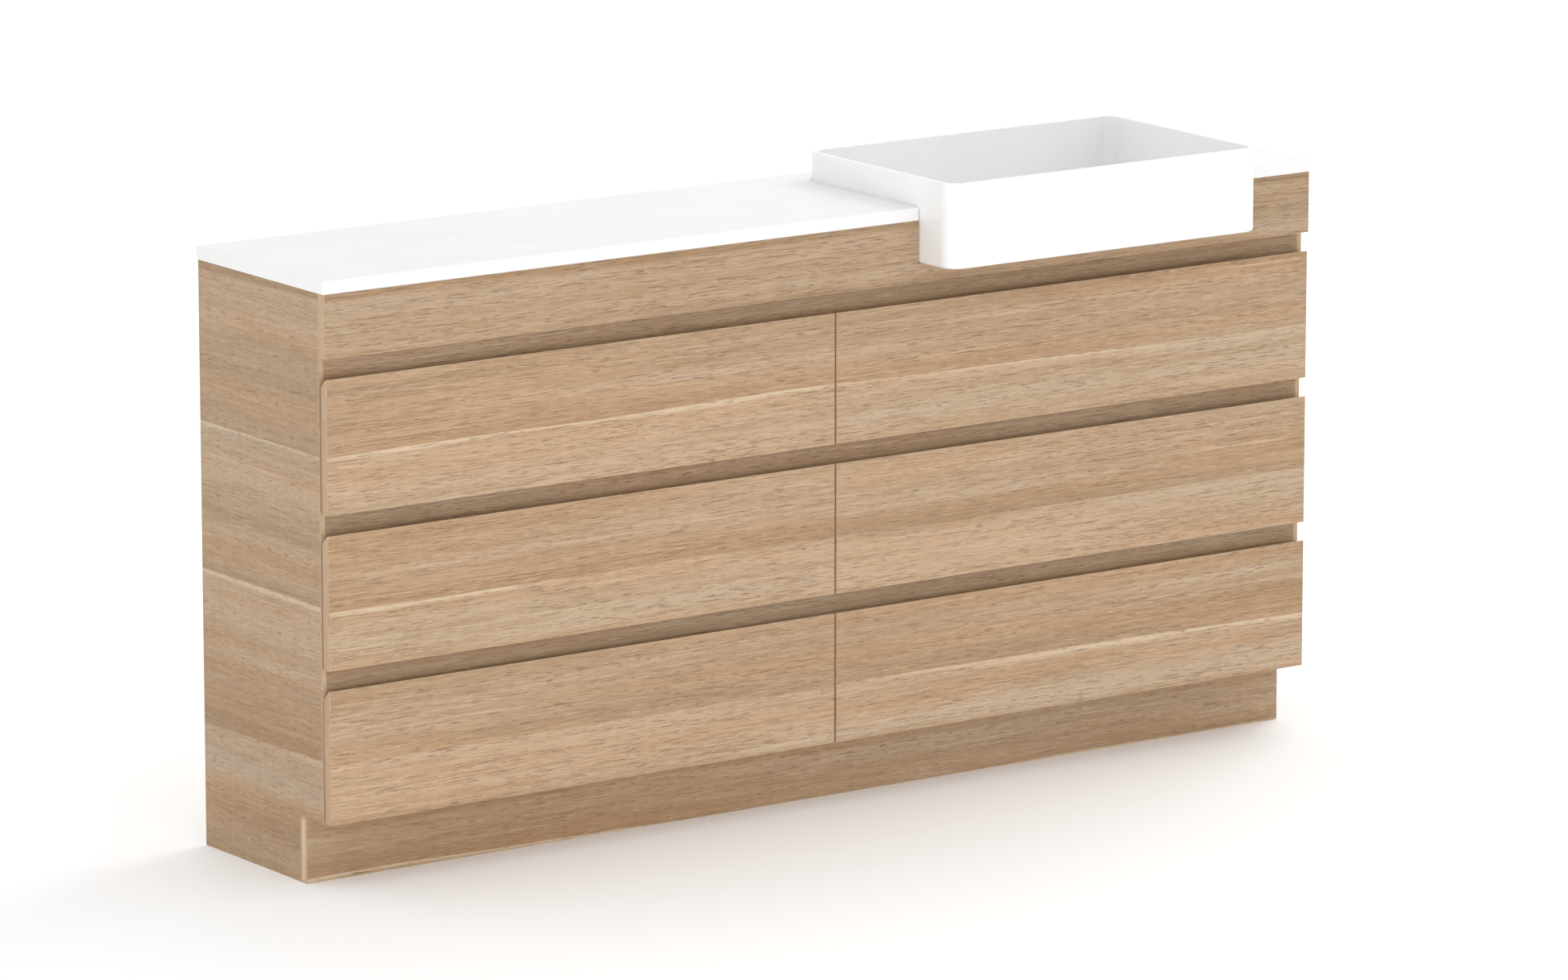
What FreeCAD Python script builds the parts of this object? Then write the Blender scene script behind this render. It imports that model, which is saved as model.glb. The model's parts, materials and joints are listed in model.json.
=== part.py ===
import FreeCAD, Part
import math
import os
from types import SimpleNamespace

import Sketcher
from FreeCAD import Placement, Rotation, Vector

# A floor-standing bathroom vanity: two bays of three drawers on a recessed plinth, a thin benchtop,
# and a rectangular basin that is let into the right of the benchtop and stands out in front of it.
# Row frame: origin under the middle of the whole object, on the floor; +X to the right seen from
# the front, +Y to the wall behind, +Z up.

# ---------------------------------------------------------------------------------------------
# Driving dimensions, in millimetres
# ---------------------------------------------------------------------------------------------

SIZES = [
    ("cab_width", 1800.0, "cabinet, over its side panels"),
    ("cab_depth", 348.0, "from the face of the drawer fronts to the back of the cabinet"),
    ("board", 16.0, "thickness of the melamine board"),
    ("kick_height", 100.0, "plinth, floor to cabinet underside"),
    ("kick_setback", 65.0, "kickboard behind the drawer fronts"),
    ("front_height", 200.0, "one drawer front"),
    ("finger_gap", 30.0, "open strip above each drawer front"),
    ("fascia_height", 95.0, "fixed panel under the benchtop"),
    ("front_gap", 2.0, "drawer fronts to the carcass behind them"),
    ("side_reveal", 2.0, "drawer fronts inside the cabinet's side faces"),
    ("centre_gap", 3.0, "between the left and right drawer fronts"),
    ("bevel_land", 3.0, "flat left along the top of a drawer front"),
    ("bevel_drop", 13.0, "fall of the finger bevel to the back of a drawer front"),
    ("rail_lap", 8.0, "finger rail housed into each side panel"),
    ("rail_below", 20.0, "finger rail carried down behind the front below"),
    ("rail_above", 10.0, "finger rail carried up behind the front above"),
    ("top_thick", 20.0, "benchtop"),
    ("top_overhang", 2.0, "benchtop past each side panel"),
    ("top_rear", 2.0, "benchtop past the back of the cabinet"),
    ("basin_width", 588.0, "basin, outside"),
    ("basin_depth", 380.0, "basin, front to back, outside"),
    ("basin_height", 130.0, "basin, outside"),
    ("basin_rise", 45.0, "basin rim above the benchtop"),
    ("basin_project", 80.0, "basin in front of the drawer fronts"),
    ("basin_offset", 2.0, "basin centre line, right of the middle of its bay"),
    ("basin_wall", 9.0, "basin side wall"),
    ("basin_floor", 12.0, "basin floor"),
    ("basin_corner", 28.0, "outer radius of the basin's upright corners"),
    ("basin_foot_round", 4.0, "round along the basin's bottom edge"),
    ("basin_bowl_round", 12.0, "round between the basin's floor and walls"),
    ("basin_lip_round", 1.5, "round on both edges of the basin's rim"),
    ("basin_seam", 1.0, "basin to the cut edges of benchtop and fascia"),
    ("support_height", 35.0, "bearer under the back of the basin"),
    ("support_inset", 4.0, "bearer in from the back of the basin"),
    ("wall_rail_height", 80.0, "rail that is screwed to the wall"),
    ("wall_hole", 8.0, "diameter of a wall screw hole"),
    ("wall_hole_inset", 80.0, "wall screw hole from the side panel"),
    ("service_width", 170.0, "pipe opening in the back panel"),
    ("service_height", 80.0, "pipe opening in the back panel"),
    ("box_lift", 22.0, "drawer box above the bottom edge of its front"),
    ("box_height", 108.0, "drawer side"),
    ("box_length", 270.0, "drawer side"),
    ("sheet", 1.5, "steel of the drawer sides"),
    ("side_flange", 14.0, "turned-in foot of a drawer side, under the base"),
    ("side_roll", 6.0, "turned-in top of a drawer side"),
    ("runner_space", 13.0, "drawer side to cabinet board"),
    ("runner_length", 250.0, "each runner member"),
    ("runner_start", 2.0, "runner behind the front edge of the carcass"),
    ("runner_level", 60.0, "runner centre above the bottom edge of its front"),
    ("runner_gauge", 1.2, "steel of the runner members"),
    ("outer_member", 45.0, "height of the cabinet member"),
    ("middle_member", 38.0, "height of the middle member"),
    ("inner_member", 30.0, "height of the member on the drawer side"),
    ("outer_reach", 10.0, "flange of the cabinet member"),
    ("middle_start", 2.4, "middle member from the cabinet board"),
    ("middle_reach", 8.6, "flange of the middle member"),
    ("inner_reach", 8.0, "flange of the member on the drawer side"),
    ("waste_hole", 46.0, "diameter of the hole in the basin floor"),
    ("waste_recess", 66.0, "diameter of the recess for the waste flange"),
    ("waste_flange", 64.0, "diameter of the waste flange"),
    ("flange_thick", 2.0, "waste flange and its recess"),
    ("tail_outer", 41.0, "outer diameter of the waste tail"),
    ("tail_inner", 36.0, "inner diameter of the waste tail"),
    ("tail_length", 92.0, "waste, from its flange to the end of its tail"),
    ("bridge_drop", 28.0, "guide bridge below the waste flange"),
    ("bridge_width", 7.0, "guide bridge"),
    ("bridge_thick", 4.0, "guide bridge"),
    ("guide_boss", 14.0, "diameter of the boss on the guide bridge"),
    ("stem", 8.0, "diameter of the plug's stem"),
    ("stem_fit", 0.3, "stem to its guide, all round"),
    ("stem_tail", 14.0, "stem below the guide bridge"),
    ("plug_cap", 58.0, "diameter of the plug's cap"),
    ("plug_thick", 5.0, "plug's cap"),
    ("plug_edge", 2.0, "bevel round the plug's cap"),
    ("plug_seat", 0.4, "shut plug above the waste flange"),
    ("nut_size", 60.0, "waste nut, across its corners"),
    ("nut_thick", 12.0, "waste nut"),
    ("trap_top_drop", 34.0, "top of the bottle below the basin"),
    ("trap_bore", 56.0, "inner diameter of the bottle"),
    ("trap_wall", 3.0, "wall of the bottle trap"),
    ("trap_height", 64.0, "bottle without its cup"),
    ("neck_outer", 52.0, "diameter of the inlet neck"),
    ("neck_height", 14.0, "inlet neck above the bottle"),
    ("cup_lap", 12.0, "cup over the bottle's lower end"),
    ("cup_height", 32.0, "cup"),
    ("outlet_pipe", 40.0, "outer diameter of the outlet pipe"),
    ("outlet_bore", 36.0, "inner diameter of the outlet pipe"),
    ("outlet_drop", 26.0, "outlet centre below the top of the bottle"),
    ("socket_outer", 50.0, "diameter of the outlet socket"),
    ("socket_length", 24.0, "outlet socket beyond the bottle"),
    ("stop_collar", 4.0, "collar on the outlet pipe, against its socket"),
]


class Size:
    """A length: its value, and the sheet expression that gives it."""

    def __init__(self, value, text):
        self.value = value
        self.text = text

    def _with(self, other, sign, value):
        if isinstance(other, Size):
            return Size(value, f"({self.text} {sign} {other.text})")
        return Size(value, f"({self.text} {sign} {other})")

    def __add__(self, other):
        return self._with(other, "+", self.value + value_of(other))

    def __sub__(self, other):
        return self._with(other, "-", self.value - value_of(other))

    def __mul__(self, number):
        return self._with(number, "*", self.value * number)

    def __truediv__(self, number):
        return self._with(number, "/", self.value / number)

    def __neg__(self):
        return Size(-self.value, f"(0 - {self.text})")


def value_of(size):
    return size.value if isinstance(size, Size) else size


doc = FreeCAD.newDocument("vanity")
sheet = doc.addObject("Spreadsheet::Sheet", "dims")
for line, (alias, number, note) in enumerate(SIZES, start=1):
    sheet.set(f"A{line}", alias)
    sheet.set(f"B{line}", str(number))
    sheet.set(f"C{line}", note)
    sheet.setAlias(f"B{line}", alias)
doc.recompute()
dim = SimpleNamespace(**{alias: Size(number, "dims." + alias) for alias, number, _ in SIZES})
ZERO = Size(0.0, "0")

# ---------------------------------------------------------------------------------------------
# Planes that several pieces share
# ---------------------------------------------------------------------------------------------

right_face = dim.cab_width / 2
left_face = -right_face
left_inside = left_face + dim.board
right_inside = right_face - dim.board
middle_left = -dim.board / 2
middle_right = dim.board / 2

front_plane = (dim.basin_project - dim.cab_depth - dim.top_rear) / 2
front_back = front_plane + dim.board
carcass_front = front_back + dim.front_gap
carcass_back = front_plane + dim.cab_depth
panel_front = carcass_back - dim.board
rail_back = carcass_front + dim.board
top_back = carcass_back + dim.top_rear

floor_top = dim.kick_height + dim.board
pitch = dim.front_height + dim.finger_gap
ROWS = ["bottom", "middle", "top"]
fascia_bottom = dim.kick_height + pitch * len(ROWS)
carcass_top = fascia_bottom + dim.fascia_height
top_top = carcass_top + dim.top_thick

basin_centre = (middle_right + right_inside) / 2 + dim.basin_offset
basin_left = basin_centre - dim.basin_width / 2
basin_right = basin_centre + dim.basin_width / 2
basin_front = front_plane - dim.basin_project
basin_back = basin_front + dim.basin_depth
basin_top = top_top + dim.basin_rise
basin_bottom = basin_top - dim.basin_height
bowl_bottom = basin_bottom + dim.basin_floor
waste_y = (basin_front + basin_back) / 2

trap_top = basin_bottom - dim.trap_top_drop
outlet_z = trap_top - dim.outlet_drop

# (name, low face, high face) of each bay, inside the cabinet boards
BAYS = [("left", left_inside, middle_left), ("right", middle_right, right_inside)]


def front_bottom(row):
    return dim.kick_height + pitch * row


# ---------------------------------------------------------------------------------------------
# Ways of making a piece
# ---------------------------------------------------------------------------------------------

nodes = []


def keep(piece):
    """Hand a piece over as a sub-part of the object."""
    nodes.append(piece)
    return piece


def bind(thing, prop, size):
    thing.setExpression(prop, size.text)


def place(thing, x, y, z):
    for axis, size in zip("xyz", (x, y, z)):
        bind(thing, "Placement.Base." + axis, size)


def block(label, x, y, z):
    """A box between two planes on each axis."""
    piece = doc.addObject("Part::Box", label)
    piece.Label = label
    for prop, (low, high) in zip(("Length", "Width", "Height"), (x, y, z)):
        bind(piece, prop, high - low)
    place(piece, x[0], y[0], z[0])
    return piece


def rod(label, diameter, start, length, along="z"):
    """A cylinder from a start point, upwards or towards the wall."""
    piece = doc.addObject("Part::Cylinder", label)
    piece.Label = label
    if along == "y":
        piece.Placement = Placement(Vector(), Rotation(Vector(1, 0, 0), -90))
    bind(piece, "Radius", diameter / 2)
    bind(piece, "Height", length)
    place(piece, *start)
    return piece


def group(label, pieces):
    piece = doc.addObject("Part::Compound", label)
    piece.Label = label
    piece.Links = pieces
    return piece


def fuse(label, pieces):
    piece = doc.addObject("Part::MultiFuse", label)
    piece.Label = label
    piece.Shapes = pieces
    return piece


def cut(label, base, tools):
    """The base with every tool taken away."""
    piece = doc.addObject("Part::Cut", label)
    piece.Label = label
    piece.Base = base
    piece.Tool = tools[0] if len(tools) == 1 else group(label + "_cutters", tools)
    return piece


def new_body(label, x, y, z, half_turn=False):
    body = doc.addObject("PartDesign::Body", label)
    body.Label = label
    if half_turn:
        body.Placement = Placement(Vector(), Rotation(Vector(0, 0, 1), 180))
    place(body, x, y, z)
    return body


def new_sketch(body, plane, level=None):
    """A sketch on one of the body's own origin planes, or lifted off it."""
    sketch = body.newObject("Sketcher::SketchObject", body.Label + "_sketch")
    origin_plane = next(item for item in body.Origin.OriginFeatures if item.Role == plane)
    sketch.AttachmentSupport = [(origin_plane, "")]
    sketch.MapMode = "FlatFace"
    if level is not None:
        bind(sketch, "AttachmentOffset.Base.z", level)
    return sketch


def hold(sketch, kind, places, size):
    number = sketch.addConstraint(Sketcher.Constraint(kind, *places, value_of(size)))
    if isinstance(size, Size):
        sketch.setExpression(f"Constraints[{number}]", size.text)


def outline(sketch, points):
    """A closed outline of straight lines, each corner held at its own two sizes."""
    count = len(points)
    corners = [Vector(value_of(u), value_of(v), 0) for u, v in points]
    for index in range(count):
        sketch.addGeometry(Part.LineSegment(corners[index], corners[(index + 1) % count]))
    for index in range(count):
        sketch.addConstraint(Sketcher.Constraint("Coincident", index, 2, (index + 1) % count, 1))
    for index, (u, v) in enumerate(points):
        hold(sketch, "DistanceX", (-1, 1, index, 1), u)
        hold(sketch, "DistanceY", (-1, 1, index, 1), v)


def rectangle(sketch, u, v):
    outline(sketch, [(u[0], v[0]), (u[1], v[0]), (u[1], v[1]), (u[0], v[1])])


def rounded_rectangle(sketch, u, v, radius):
    """Four lines and four equal arcs, tangent all round, starting with the lower line."""
    (left, right), (low, high) = [tuple(value_of(end) for end in span) for span in (u, v)]
    r = radius.value
    straights = [
        ((left + r, low), (right - r, low)),
        ((right, low + r), (right, high - r)),
        ((right - r, high), (left + r, high)),
        ((left, high - r), (left, low + r)),
    ]
    centres = [(right - r, low + r), (right - r, high - r), (left + r, high - r), (left + r, low + r)]
    for side, (ends, centre) in enumerate(zip(straights, centres)):
        sketch.addGeometry(Part.LineSegment(Vector(*ends[0], 0), Vector(*ends[1], 0)))
        whole = Part.Circle(Vector(*centre, 0), Vector(0, 0, 1), r)
        sketch.addGeometry(Part.ArcOfCircle(whole, math.radians(90 * side - 90), math.radians(90 * side)))
    for index in range(8):
        sketch.addConstraint(Sketcher.Constraint("Tangent", index, 2, (index + 1) % 8, 1))
    for kind, line in (("Horizontal", 0), ("Vertical", 2), ("Horizontal", 4), ("Vertical", 6)):
        sketch.addConstraint(Sketcher.Constraint(kind, line))
    for arc in (3, 5, 7):
        sketch.addConstraint(Sketcher.Constraint("Equal", 1, arc))
    hold(sketch, "Radius", (1,), radius)
    for kind, line, size in (
        ("DistanceY", 0, v[0]), ("DistanceX", 2, u[1]), ("DistanceY", 4, v[1]), ("DistanceX", 6, u[0])
    ):
        hold(sketch, kind, (-1, 1, line, 1), size)


def circle(sketch, u, v, diameter):
    centre = Vector(value_of(u), value_of(v), 0)
    sketch.addGeometry(Part.Circle(centre, Vector(0, 0, 1), diameter.value / 2))
    hold(sketch, "Diameter", (0,), diameter)
    hold(sketch, "DistanceX", (-1, 1, 0, 3), u)
    hold(sketch, "DistanceY", (-1, 1, 0, 3), v)


def pad(body, sketch, length, reversed_way=False):
    feature = body.newObject("PartDesign::Pad", body.Label + "_pad")
    feature.Profile = sketch
    feature.Reversed = reversed_way
    bind(feature, "Length", length)
    doc.recompute()
    return feature


def pocket(body, sketch, depth):
    """A cut down from a sketch, which has to take something away."""
    before = body.Shape.Volume
    feature = body.newObject("PartDesign::Pocket", body.Label + "_pocket")
    feature.Profile = sketch
    bind(feature, "Length", depth)
    doc.recompute()
    if body.Shape.Volume >= before:
        raise RuntimeError(f"{feature.Name} cuts nothing")
    return feature


def revolve(body, sketch):
    feature = body.newObject("PartDesign::Revolution", body.Label + "_turned")
    feature.Profile = sketch
    feature.ReferenceAxis = (sketch, ["V_Axis"])
    feature.Angle = 360
    doc.recompute()
    return feature


def turned(label, start, points):
    """A body turned about an upright axis through its start point."""
    body = new_body(label, *start)
    sketch = new_sketch(body, "XZ_Plane")
    outline(sketch, points)
    revolve(body, sketch)
    return body


def round_edges(body, radius, chosen):
    """A fillet on the edges of the body's tip that the test picks out."""
    tip = body.Tip
    names = [f"Edge{number}" for number, edge in enumerate(tip.Shape.Edges, start=1) if chosen(edge)]
    feature = body.newObject("PartDesign::Fillet", body.Label + "_round")
    feature.Base = (tip, names)
    bind(feature, "Radius", radius)
    doc.recompute()
    return feature


def upright(edge):
    low, high = edge.BoundBox.ZMin, edge.BoundBox.ZMax
    return high - low > 1.0 and edge.BoundBox.XLength < 0.01 and edge.BoundBox.YLength < 0.01


def level_at(height):
    """A test for edges that lie flat at one height above the body's origin."""
    return lambda edge: max(abs(edge.BoundBox.ZMin - height), abs(edge.BoundBox.ZMax - height)) < 0.01


# ---------------------------------------------------------------------------------------------
# Plinth
# ---------------------------------------------------------------------------------------------

kick_front = front_plane + dim.kick_setback
kick_back = kick_front + dim.board
plinth_height = (ZERO, dim.kick_height)

keep(block("kickboard", (left_face, right_face), (kick_front, kick_back), plinth_height))
keep(block("plinth_end_left", (left_face, left_inside), (kick_back, carcass_back), plinth_height))
keep(block("plinth_end_right", (right_inside, right_face), (kick_back, carcass_back), plinth_height))
keep(block("plinth_back_rail", (left_inside, right_inside), (panel_front, carcass_back), plinth_height))

# ---------------------------------------------------------------------------------------------
# Carcass
# ---------------------------------------------------------------------------------------------

# Each finger rail closes the open strip above a row of fronts; the top one carries on up to the basin.
rail_spans = []
for row in range(len(ROWS)):
    strip_bottom = front_bottom(row) + dim.front_height
    rail_bottom = strip_bottom - dim.rail_below
    rail_top = strip_bottom + dim.finger_gap + dim.rail_above
    if row == len(ROWS) - 1:
        rail_top = basin_bottom
    rail_spans.append((rail_bottom, rail_top))

rail_depth = (carcass_front, rail_back)
for name, span in zip(ROWS, rail_spans):
    housed = (left_face + dim.rail_lap, right_face - dim.rail_lap)
    keep(block(f"finger_rail_{name}", housed, rail_depth, span))

panel_depth = (carcass_front, carcass_back)
panel_height = (dim.kick_height, carcass_top)
for name, outer, inner, housing in (
    ("left", left_face, left_inside, (left_face + dim.rail_lap, left_inside)),
    ("right", right_face, right_inside, (right_inside, right_face - dim.rail_lap)),
):
    across = (outer, inner) if name == "left" else (inner, outer)
    board = block(f"side_{name}_board", across, panel_depth, panel_height)
    housings = [
        block(f"side_{name}_housing_{row}", housing, rail_depth, span)
        for row, span in zip(ROWS, rail_spans)
    ]
    keep(cut(f"side_panel_{name}", board, housings))

keep(block("cabinet_floor", (left_inside, right_inside), panel_depth, (dim.kick_height, floor_top)))

wall_rail_depth = (panel_front - dim.board, panel_front)
wall_rail_height = (carcass_top - dim.wall_rail_height, carcass_top)
middle_board = block(
    "partition_board", (middle_left, middle_right), (carcass_front, panel_front), (floor_top, carcass_top)
)
middle_notches = [
    block(f"partition_notch_{row}", (middle_left, middle_right), rail_depth, span)
    for row, span in zip(ROWS, rail_spans)
]
middle_notches.append(
    block("partition_notch_wall", (middle_left, middle_right), wall_rail_depth, wall_rail_height)
)
keep(cut("centre_partition", middle_board, middle_notches))


def wall_screw_holes(label, depth):
    """Two level holes through the boards at the top of the back."""
    height = carcass_top - dim.wall_rail_height / 2
    places = (left_inside + dim.wall_hole_inset, right_inside - dim.wall_hole_inset)
    return [
        rod(f"{label}_hole_{number}", dim.wall_hole, (x, depth[0], height), depth[1] - depth[0], "y")
        for number, x in enumerate(places)
    ]


wall_rail = block("wall_rail_board", (left_inside, right_inside), wall_rail_depth, wall_rail_height)
keep(cut("wall_fixing_rail", wall_rail, wall_screw_holes("wall_rail", wall_rail_depth)))

back_depth = (panel_front, carcass_back)
back_board = block("back_board", (left_inside, right_inside), back_depth, (floor_top, carcass_top))
service_opening = block(
    "service_opening",
    (basin_centre - dim.service_width / 2, basin_centre + dim.service_width / 2),
    back_depth,
    (outlet_z - dim.service_height / 2, outlet_z + dim.service_height / 2),
)
keep(cut("back_panel", back_board, [service_opening] + wall_screw_holes("back", back_depth)))

support_back = basin_back - dim.support_inset
keep(block(
    "basin_rear_support",
    (middle_right, right_inside),
    (support_back - dim.board, support_back),
    (basin_bottom - dim.support_height, basin_bottom),
))

# ---------------------------------------------------------------------------------------------
# Fascia and benchtop, both cut out round the basin
# ---------------------------------------------------------------------------------------------

cut_across = (basin_left - dim.basin_seam, basin_right + dim.basin_seam)

# The fascia doesn't move, so it is thick enough to be fixed straight to the carcass behind it.
fascia_board = block(
    "fascia_board", (left_face, right_face), (front_plane, carcass_front), (fascia_bottom, carcass_top)
)
fascia_notch = block("fascia_notch", cut_across, (front_plane, carcass_front), (basin_bottom, carcass_top))
keep(cut("fascia_panel", fascia_board, [fascia_notch]))

top_slab = block(
    "benchtop_slab",
    (left_face - dim.top_overhang, right_face + dim.top_overhang),
    (front_plane, top_back),
    (carcass_top, top_top),
)
# The cut-out is open at the front, and its back corners follow the basin's own.
top_notch = new_body("benchtop_notch", cut_across[0], front_plane, carcass_top)
notch_plan = new_sketch(top_notch, "XY_Plane")
notch_depth = basin_back + dim.basin_seam - front_plane
rectangle(notch_plan, (ZERO, cut_across[1] - cut_across[0]), (ZERO, notch_depth))
pad(top_notch, notch_plan, dim.top_thick)
notch_corner = dim.basin_corner + dim.basin_seam
round_edges(top_notch, notch_corner, lambda edge: upright(edge) and edge.BoundBox.YMin > 1.0)
keep(cut("benchtop", top_slab, [top_notch]))

# ---------------------------------------------------------------------------------------------
# Basin
# ---------------------------------------------------------------------------------------------


basin = new_body("basin", basin_left, basin_front, basin_bottom)
basin_plan = new_sketch(basin, "XY_Plane")
rounded_rectangle(basin_plan, (ZERO, dim.basin_width), (ZERO, dim.basin_depth), dim.basin_corner)
pad(basin, basin_plan, dim.basin_height)

bowl_plan = new_sketch(basin, "XY_Plane", dim.basin_height)
bowl_across = (dim.basin_wall, dim.basin_width - dim.basin_wall)
bowl_along = (dim.basin_wall, dim.basin_depth - dim.basin_wall)
rounded_rectangle(bowl_plan, bowl_across, bowl_along, dim.basin_corner - dim.basin_wall)
pocket(basin, bowl_plan, dim.basin_height - dim.basin_floor)
round_edges(basin, dim.basin_bowl_round, level_at(dim.basin_floor.value))
round_edges(basin, dim.basin_lip_round, level_at(dim.basin_height.value))
round_edges(basin, dim.basin_foot_round, level_at(0.0))

for opening, depth in ((dim.waste_recess, dim.flange_thick), (dim.waste_hole, dim.basin_floor)):
    waste_plan = new_sketch(basin, "XY_Plane", dim.basin_floor)
    circle(waste_plan, dim.basin_width / 2, dim.basin_depth / 2, opening)
    pocket(basin, waste_plan, depth)
keep(basin)

# ---------------------------------------------------------------------------------------------
# Waste, plug and bottle trap
# ---------------------------------------------------------------------------------------------

# The waste hangs from its flange in the recess of the basin floor. Heights here are above the
# end of its tail, which dips into the water of the trap.
tail_end = bowl_bottom - dim.tail_length
flange_under = dim.tail_length - dim.flange_thick
waste = turned("waste_body", (basin_centre, waste_y, tail_end), [
    (dim.tail_inner / 2, ZERO),
    (dim.tail_outer / 2, ZERO),
    (dim.tail_outer / 2, flange_under),
    (dim.waste_flange / 2, flange_under),
    (dim.waste_flange / 2, dim.tail_length),
    (dim.tail_inner / 2, dim.tail_length),
])

# A narrow bridge with a boss crosses the waste and guides the plug's stem.
bridge_top = dim.tail_length - dim.bridge_drop
bridge_bottom = bridge_top - dim.bridge_thick
into_wall = (dim.tail_inner + dim.tail_outer) / 4
bridge = new_sketch(waste, "XY_Plane", bridge_bottom)
rectangle(bridge, (-into_wall, into_wall), (-dim.bridge_width / 2, dim.bridge_width / 2))
pad(waste, bridge, dim.bridge_thick)
boss = new_sketch(waste, "XY_Plane", bridge_bottom)
circle(boss, 0, 0, dim.guide_boss)
pad(waste, boss, dim.bridge_thick)
guide = new_sketch(waste, "XY_Plane", bridge_top)
circle(guide, 0, 0, dim.stem + dim.stem_fit * 2)
pocket(waste, guide, dim.bridge_thick)
keep(waste)

cap_under = dim.bridge_drop + dim.bridge_thick + dim.stem_tail + dim.plug_seat
cap_top = cap_under + dim.plug_thick
stem_end = bowl_bottom + dim.plug_seat - cap_under
keep(turned("waste_plug", (basin_centre, waste_y, stem_end), [
    (ZERO, ZERO),
    (dim.stem / 2, ZERO),
    (dim.stem / 2, cap_under),
    (dim.plug_cap / 2, cap_under),
    (dim.plug_cap / 2, cap_top - dim.plug_edge),
    (dim.plug_cap / 2 - dim.plug_edge, cap_top),
    (ZERO, cap_top),
]))

nut = doc.addObject("Part::Prism", "nut_blank")
nut.Polygon = 6
bind(nut, "Circumradius", dim.nut_size / 2)
bind(nut, "Height", dim.nut_thick)
place(nut, basin_centre, waste_y, basin_bottom - dim.nut_thick)
nut_bore = rod(
    "nut_bore", dim.tail_outer, (basin_centre, waste_y, basin_bottom - dim.nut_thick), dim.nut_thick
)
keep(cut("waste_nut", nut, [nut_bore]))

# The bottle hangs on the tail by its neck; a socket on its back takes the outlet pipe.
bottle_bottom = trap_top - dim.trap_height
bottle_outer = dim.trap_bore + dim.trap_wall * 2
bottle_axis = (basin_centre, waste_y)
socket_start = waste_y + dim.trap_bore / 2
socket_end = waste_y + bottle_outer / 2 + dim.socket_length
bottle = fuse("trap_blank", [
    rod("bottle", bottle_outer, (*bottle_axis, bottle_bottom), dim.trap_height),
    rod("neck", dim.neck_outer, (*bottle_axis, trap_top), dim.neck_height),
    rod("socket", dim.socket_outer, (bottle_axis[0], waste_y, outlet_z), socket_end - waste_y, "y"),
])
bottle_ceiling = trap_top - dim.trap_wall
bottle_cutters = fuse("trap_hollow", [
    rod("bottle_bore", dim.trap_bore, (*bottle_axis, bottle_bottom), dim.trap_height - dim.trap_wall),
    rod("neck_bore", dim.tail_outer, (*bottle_axis, bottle_ceiling), dim.neck_height + dim.trap_wall),
    rod("socket_bore", dim.outlet_pipe, (bottle_axis[0], waste_y, outlet_z), socket_end - waste_y, "y"),
])
keep(cut("trap_body", bottle, [bottle_cutters]))

cup_bottom = bottle_bottom + dim.cup_lap - dim.cup_height
keep(turned("trap_cup", (*bottle_axis, cup_bottom), [
    (ZERO, ZERO),
    (bottle_outer / 2, ZERO),
    (bottle_outer / 2 + dim.trap_wall, dim.trap_wall),
    (bottle_outer / 2 + dim.trap_wall, dim.cup_height),
    (bottle_outer / 2, dim.cup_height),
    (bottle_outer / 2, dim.trap_wall),
    (ZERO, dim.trap_wall),
]))

# The pipe goes into the socket as far as the bottle, and its collar stops against the socket.
pipe_start = waste_y + bottle_outer / 2
pipe_length = top_back - pipe_start
pipe = fuse("pipe_blank", [
    rod("pipe", dim.outlet_pipe, (bottle_axis[0], pipe_start, outlet_z), pipe_length, "y"),
    rod("collar", dim.socket_outer, (bottle_axis[0], socket_end, outlet_z), dim.stop_collar, "y"),
])
pipe_bore = rod("pipe_bore", dim.outlet_bore, (bottle_axis[0], pipe_start, outlet_z), pipe_length, "y")
keep(cut("trap_outlet_pipe", pipe, [pipe_bore]))

# ---------------------------------------------------------------------------------------------
# Drawers and their runners
# ---------------------------------------------------------------------------------------------


def from_board(face, hand, near, far):
    """The span from near to far, measured into the bay from the board on its left or right."""
    if hand == "left":
        return (face + near, face + far)
    return (face - far, face - near)


def channel(label, face, hand, near, reach, height, centre, start):
    """A runner member: a web with two flanges, lying along Y and open to the bay."""
    depth = (start, start + dim.runner_length)
    across = from_board(face, hand, near, near + reach)
    blank = block(label + "_blank", across, depth, (centre - height / 2, centre + height / 2))
    hollow_across = from_board(face, hand, near + dim.runner_gauge, near + reach)
    inner = height / 2 - dim.runner_gauge
    hollow = block(label + "_hollow", hollow_across, depth, (centre - inner, centre + inner))
    return cut(label, blank, [hollow])


def steel_side(label, face, hand, bottom):
    """A bent steel drawer side with the inner runner member rolled out of it."""
    level = dim.runner_level - dim.box_lift
    lip_top = level + dim.inner_member / 2
    lip_bottom = level - dim.inner_member / 2
    outside = dim.inner_reach
    inside = outside + dim.sheet
    reach = outside + dim.side_flange
    roll = outside + dim.side_roll
    start = face + (dim.runner_space - dim.inner_reach)
    origin_y = front_back
    if hand == "right":
        start = face - (dim.runner_space - dim.inner_reach)
        origin_y = front_back + dim.box_length
    body = new_body(label, start, origin_y, bottom, half_turn=hand == "right")
    sketch = new_sketch(body, "XZ_Plane")
    outline(sketch, [
        (outside, ZERO),
        (reach, ZERO),
        (reach, dim.sheet),
        (inside, dim.sheet),
        (inside, dim.box_height - dim.sheet),
        (roll, dim.box_height - dim.sheet),
        (roll, dim.box_height),
        (outside, dim.box_height),
        (outside, lip_top),
        (ZERO, lip_top),
        (ZERO, lip_top - dim.sheet),
        (outside, lip_top - dim.sheet),
        (outside, lip_bottom + dim.sheet),
        (ZERO, lip_bottom + dim.sheet),
        (ZERO, lip_bottom),
        (outside, lip_bottom),
    ])
    pad(body, sketch, dim.box_length, reversed_way=True)
    return body


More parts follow.
